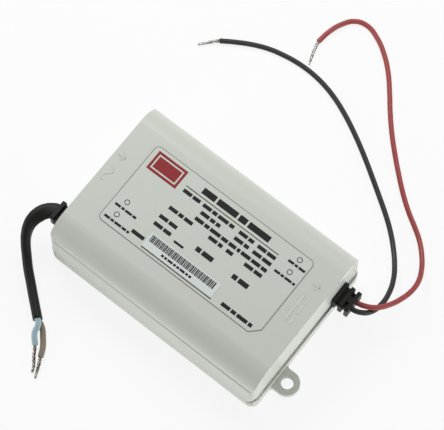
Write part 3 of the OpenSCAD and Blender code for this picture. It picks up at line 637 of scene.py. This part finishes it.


# Label film, and print on label and sticker: plain fields, rules and rows of bars, with a painted shadow
# line below the sticker
# Levels, roundings and line widths are in metres, places on the label in millimetres

LABEL_TOP = 27.15 * MM
STICKER_TOP = 27.3 * MM
INK_T = 0.02 * MM
LABEL_CORNERS = [(-32, -14.5), (28.9, -14.5), (32, -11.4), (32, 16.5), (-32, 16.5)]
LABEL_ROUNDING = 1.7 * MM
OUTLINE_W = 0.2 * MM
RED_FIELD = [(-30.2, 8.1, -18.4, 15.2)]
PALE_FRAME = [(-29.3, 9), (-19.3, 9), (-19.3, 14.3), (-29.3, 14.3)]
PALE_FRAME_W = 0.5 * MM
CIRCLE_MIDDLES = [(-27.5, -4.8), (-27.6, -10), (27.5, 14.1), (27.4, 9)]
CIRCLE_R = 0.95 * MM
CIRCLE_W = 0.25 * MM
# The last rule is not print: it is a painted shadow, a dark line along the lower edge of the sticker
RULES_AND_STICKER_SHADOW = [(-7.8, -6.05, -4, -5.25), (-16.2, 11.1, 21.1, 11.4), (-15, -13.55, 13.3, -13.25)]
# Rows of bars: start, end and middle line
HEAD_ROWS = [(-11, 16, 13.4)]
LABEL_ROWS = [
    (-16, -9.2, 9.6), (-8, 4.5, 9.6), (6.6, 12.5, 9.6), (14.1, 21.2, 9.6), (-7, 0.8, 7.15),
    (6.6, 12.3, 7.15), (14, 21.3, 7.15), (-7.3, 21.5, 4.6), (-16, -6.6, 2.3), (0, 5.5, 2.3),
    (7.1, 9.7, 2.3), (14.4, 21.3, 2.3), (-16.7, -9.7, -1.75), (-16.6, -9.8, -4.7), (-20.5, -15.6, -11.1),
    (16.7, 28.8, -12.35)]
BOLD_ROWS = [(-0.8, 5.9, -3.1), (13.8, 20.1, -3.1)]
CIRCLE_ROWS = [(-30.4, -21.9, -7.3), (-30.7, -20.7, -12.4), (24.6, 31.2, 11.9), (23.1, 31.2, 6.6)]
STICKER_ROWS = [(-8, 4, -11.8)]
# Sets of rows with their height, and the widths of their bars in row heights
BAR_WIDTHS = [2.6, 1.4, 3.1, 1.9, 2.2, 0.9, 2.8]
LABEL_PRINT = [
    (LABEL_ROWS, 1.3, BAR_WIDTHS), (CIRCLE_ROWS, 0.85, BAR_WIDTHS),
    (HEAD_ROWS, 2.2, [2.4, 3.6, 1.4, 3.0]), (BOLD_ROWS, 1.7, [1.1, 2.0])]
STICKER_PRINT = [(STICKER_ROWS, 0.8, [1.2, 1.2, 2.4])]
# Stripes, whose widths and gaps repeat
STRIPE_COUNT = 44
STRIPE_WIDTHS = [0.28, 0.5, 0.36]
STRIPE_GAPS = [0.22, 0.15, 0.28, 0.18]
STRIPES_X = -14.1
STRIPES_BOTTOM = -10.6
STRIPES_TOP = -8.1


def inked(name, bm):
    """Gives the flat faces of a drawing the thickness of an ink layer and makes them an object."""
    bmesh.ops.solidify(bm, geom=bm.faces[:], thickness=INK_T)
    bmesh.ops.recalc_face_normals(bm, faces=bm.faces)
    return from_bmesh(name, bm)


def printed_bars(name, bars, level):
    """Rectangles from corner to corner in millimetres, laid as ink at a level, for print and for the
    painted shadow line below the sticker.
    """
    bm = bmesh.new()
    for x0, y0, x1, y1 in bars:
        middle = Vector(((x0 + x1) / 2 * MM, (y0 + y1) / 2 * MM, level + INK_T))
        spread = Matrix.Diagonal(((x1 - x0) * MM, (y1 - y0) * MM, 1, 1))
        place = Matrix.Translation(middle) @ spread
        bmesh.ops.create_grid(bm, x_segments=1, y_segments=1, size=0.5, matrix=place)
    return inked(name, bm)


def flat_face(bm, corners, level, rounding):
    """Flat face at a level with the given corners in millimetres; its square corners may be rounded."""
    verts = [bm.verts.new((x * MM, y * MM, level)) for x, y in corners]
    bm.faces.new(verts)
    if rounding:
        square = [vert for vert in verts if vert.calc_edge_angle() > SQUARE_OVER]
        bmesh.ops.bevel(
            bm, geom=square, offset=rounding, offset_type="OFFSET", segments=4, profile=0.5,
            affect="VERTICES", material=-1)
    bm.normal_update()
    bm.faces.ensure_lookup_table()
    return bm.faces[0]


def film(name, corners, rounding, bottom, top):
    """Thin plate with rounded corners between two levels."""
    bm = bmesh.new()
    face = flat_face(bm, corners, top, rounding)
    skirt = bmesh.ops.extrude_face_region(bm, geom=[face], use_keep_orig=True)["geom"]
    lower = [part for part in skirt if isinstance(part, bmesh.types.BMVert)]
    bmesh.ops.translate(bm, verts=lower, vec=Vector((0, 0, bottom - top)))
    bmesh.ops.recalc_face_normals(bm, faces=bm.faces)
    return from_bmesh(name, bm)


def keep_border(bm, face, width):
    """Leaves only a line of a given width along the edge of a face."""
    bmesh.ops.inset_region(bm, faces=[face], thickness=width, use_boundary=True, use_even_offset=True)
    bmesh.ops.delete(bm, geom=[face], context="FACES")


def printed_ring(name, corners, rounding, width, level):
    """Line of a given width just inside a closed outline in millimetres."""
    bm = bmesh.new()
    face = flat_face(bm, corners, level + INK_T, rounding)
    keep_border(bm, face, width)
    return inked(name, bm)


def printed_circles(name, middles, radius, width, level):
    bm = bmesh.new()
    for x, y in middles:
        place = Matrix.Translation(Vector((x * MM, y * MM, level + INK_T)))
        disc = bmesh.ops.create_circle(bm, cap_ends=True, segments=24, radius=radius, matrix=place)
        keep_border(bm, disc["verts"][0].link_faces[0], width)
    return inked(name, bm)


def row_of_bars(x0, x1, y, height, widths):
    """Bars between x0 and x1 about the line y, whose widths repeat and leave even gaps."""
    gap_share = 0.28
    least_gap = 0.12
    gap = gap_share * height + least_gap
    bars = []
    x = x0
    turn = 0
    while x < x1 - gap:
        end = x + widths[turn % len(widths)] * height
        if x1 - end < gap + height:
            end = x1
        bars.append((x, y - height / 2, end, y + height / 2))
        x = end + gap
        turn += 1
    return bars


def rows_of_bars(row_sets):
    """Bars of several sets of rows, each with its height and the widths of its bars."""
    bars = []
    for rows, height, widths in row_sets:
        for x0, x1, y in rows:
            bars += row_of_bars(x0, x1, y, height, widths)
    return bars


def sticker_stripes():
    """Upright stripes of varied width across the sticker."""
    stripes = []
    x = STRIPES_X
    for k in range(STRIPE_COUNT):
        end = x + STRIPE_WIDTHS[k % len(STRIPE_WIDTHS)]
        stripes.append((x, STRIPES_BOTTOM, end, STRIPES_TOP))
        x = end + STRIPE_GAPS[k % len(STRIPE_GAPS)]
    return stripes


# The label's bars hold the print and the painted shadow line below the sticker
label_bars_and_sticker_shadow = rows_of_bars(LABEL_PRINT) + RULES_AND_STICKER_SHADOW
sticker_bars = sticker_stripes() + rows_of_bars(STICKER_PRINT)
piece(
    film("label_sheet", LABEL_CORNERS, LABEL_ROUNDING, SHELL_TOP, LABEL_TOP),
    LABEL_FILM, ["rating_label"])
piece(printed_bars("label_rows_and_sticker_shadow", label_bars_and_sticker_shadow, LABEL_TOP), PRINT_INK_AND_SHADOW)
piece(printed_bars("label_red_field", RED_FIELD, LABEL_TOP), RED_INK)
piece(
    printed_ring("label_pale_frame", PALE_FRAME, rounding=0, width=PALE_FRAME_W, level=LABEL_TOP + INK_T),
    LABEL_FILM)
piece(
    printed_circles("label_circles", CIRCLE_MIDDLES, CIRCLE_R, CIRCLE_W, LABEL_TOP),
    PRINT_INK_AND_SHADOW)
piece(
    printed_ring("label_outline", LABEL_CORNERS, LABEL_ROUNDING, OUTLINE_W, LABEL_TOP),
    OUTLINE_INK)
piece(printed_bars("sticker_stripes", sticker_bars, STICKER_TOP), PRINT_INK_AND_SHADOW)


# CAD nodes that show as they are, or lie hidden in the closed case

NODE_FINISHES = {
    "serial_sticker": STICKER_PAPER, "ac_cable_inner": BLACK_PVC, "red_lead_inner": RED_INSULATION,
    "black_lead_inner": BLACK_INSULATION, "blue_lead_inner": BLUE_INSULATION,
    "brown_lead_inner": BROWN_INSULATION, "circuit_board": BOARD_LAMINATE, "fuse": DARK_EPOXY,
    "bridge_rectifier": DARK_EPOXY, "switching_transistor": DARK_EPOXY, "control_chip": DARK_EPOXY,
    "output_diode": DARK_EPOXY, "varistor": BLUE_LACQUER, "y_capacitor": BLUE_LACQUER,
    "x_capacitor": YELLOW_FILM_CASE, "line_filter_choke": WOUND_COPPER, "bulk_capacitor": CAPACITOR_SLEEVE,
    "output_capacitors": CAPACITOR_SLEEVE, "transformer_core": FERRITE,
    "transformer_bobbin": BOBBIN_PLASTIC, "transformer_winding": WINDING_TAPE, "heatsink": HEATSINK_METAL,
    "heatsink_screw": SCREW_STEEL, "optocoupler": WHITE_EPOXY, "axial_resistors": RESISTOR_BODY}
for node, finish in NODE_FINISHES.items():
    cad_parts[node].material_slots[0].material = finish


# Studio

def seen_rays(tree, path):
    """1 for what the camera sees, straight or in gloss and glass."""
    direct = maths(tree, "MAXIMUM", path.outputs["Is Camera Ray"], path.outputs["Is Glossy Ray"])
    return maths(tree, "MAXIMUM", direct, path.outputs["Is Transmission Ray"])


def make_floor(table_level):
    """White floor that shows evenly bright and lights the part from below, as a light table does."""
    half_side = 3.0
    glow_share = 0.85
    bm = bmesh.new()
    bmesh.ops.create_grid(bm, x_segments=1, y_segments=1, size=half_side)
    floor = from_bmesh("studio_floor", bm)
    material, tree, shader = new_material("white_floor")
    shader.inputs["Base Color"].default_value = (0.85, 0.85, 0.85, 1)
    shader.inputs["Roughness"].default_value = 0.9
    path = tree.nodes.new("ShaderNodeLightPath")
    glow = tree.nodes.new("ShaderNodeEmission")
    mix = tree.nodes.new("ShaderNodeMixShader")
    feed(tree, mix.inputs[0], maths(tree, "MULTIPLY", seen_rays(tree, path), glow_share))
    feed(tree, mix.inputs[1], shader.outputs[0])
    feed(tree, mix.inputs[2], glow.outputs[0])
    table_light = tree.nodes.new("ShaderNodeEmission")
    table_strength = maths(tree, "MULTIPLY", path.outputs["Is Diffuse Ray"], table_level)
    feed(tree, table_light.inputs["Strength"], table_strength)
    both = tree.nodes.new("ShaderNodeAddShader")
    feed(tree, both.inputs[0], mix.outputs[0])
    feed(tree, both.inputs[1], table_light.outputs[0])
    feed(tree, tree.nodes["Material Output"].inputs["Surface"], both.outputs[0])
    # Only bounced rays find this light: it is not sampled as a lamp
    material.cycles.emission_sampling = "NONE"
    floor.data.materials.append(material)


def make_world(level):
    world = bpy.data.worlds.new("studio")
    bpy.context.scene.world = world
    world.use_nodes = True
    ambient = world.node_tree.nodes["Background"]
    ambient.inputs["Strength"].default_value = level
    ambient.inputs["Color"].default_value = (1, 1, 1, 1)


def soft_lamp(name, place, size, power):
    """Square area lamp aimed at the middle of the base; place and size in metres, power in watts."""
    data = bpy.data.lights.new(name, "AREA")
    data.energy = power
    data.size = size
    lamp = link(bpy.data.objects.new(name, data))
    lamp.location = place
    lamp.visible_camera = False
    lamp.rotation_euler = Vector(place).to_track_quat("Z", "Y").to_euler()


make_camera()
make_floor(table_level=0.8)
make_world(level=0.22)
soft_lamp("back_softbox", (0, 0.4, 0.55), size=0.6, power=1.8)
soft_lamp("left_softbox", (-0.35, 0.2, 0.45), size=0.25, power=1.55)
soft_lamp("right_softbox", (0.55, 0, 0.12), size=0.22, power=1.0)
soft_lamp("front_softbox", (-0.8, -0.8, 0.3), size=0.6, power=3.6)

bpy.context.scene.view_settings.view_transform = "Standard"
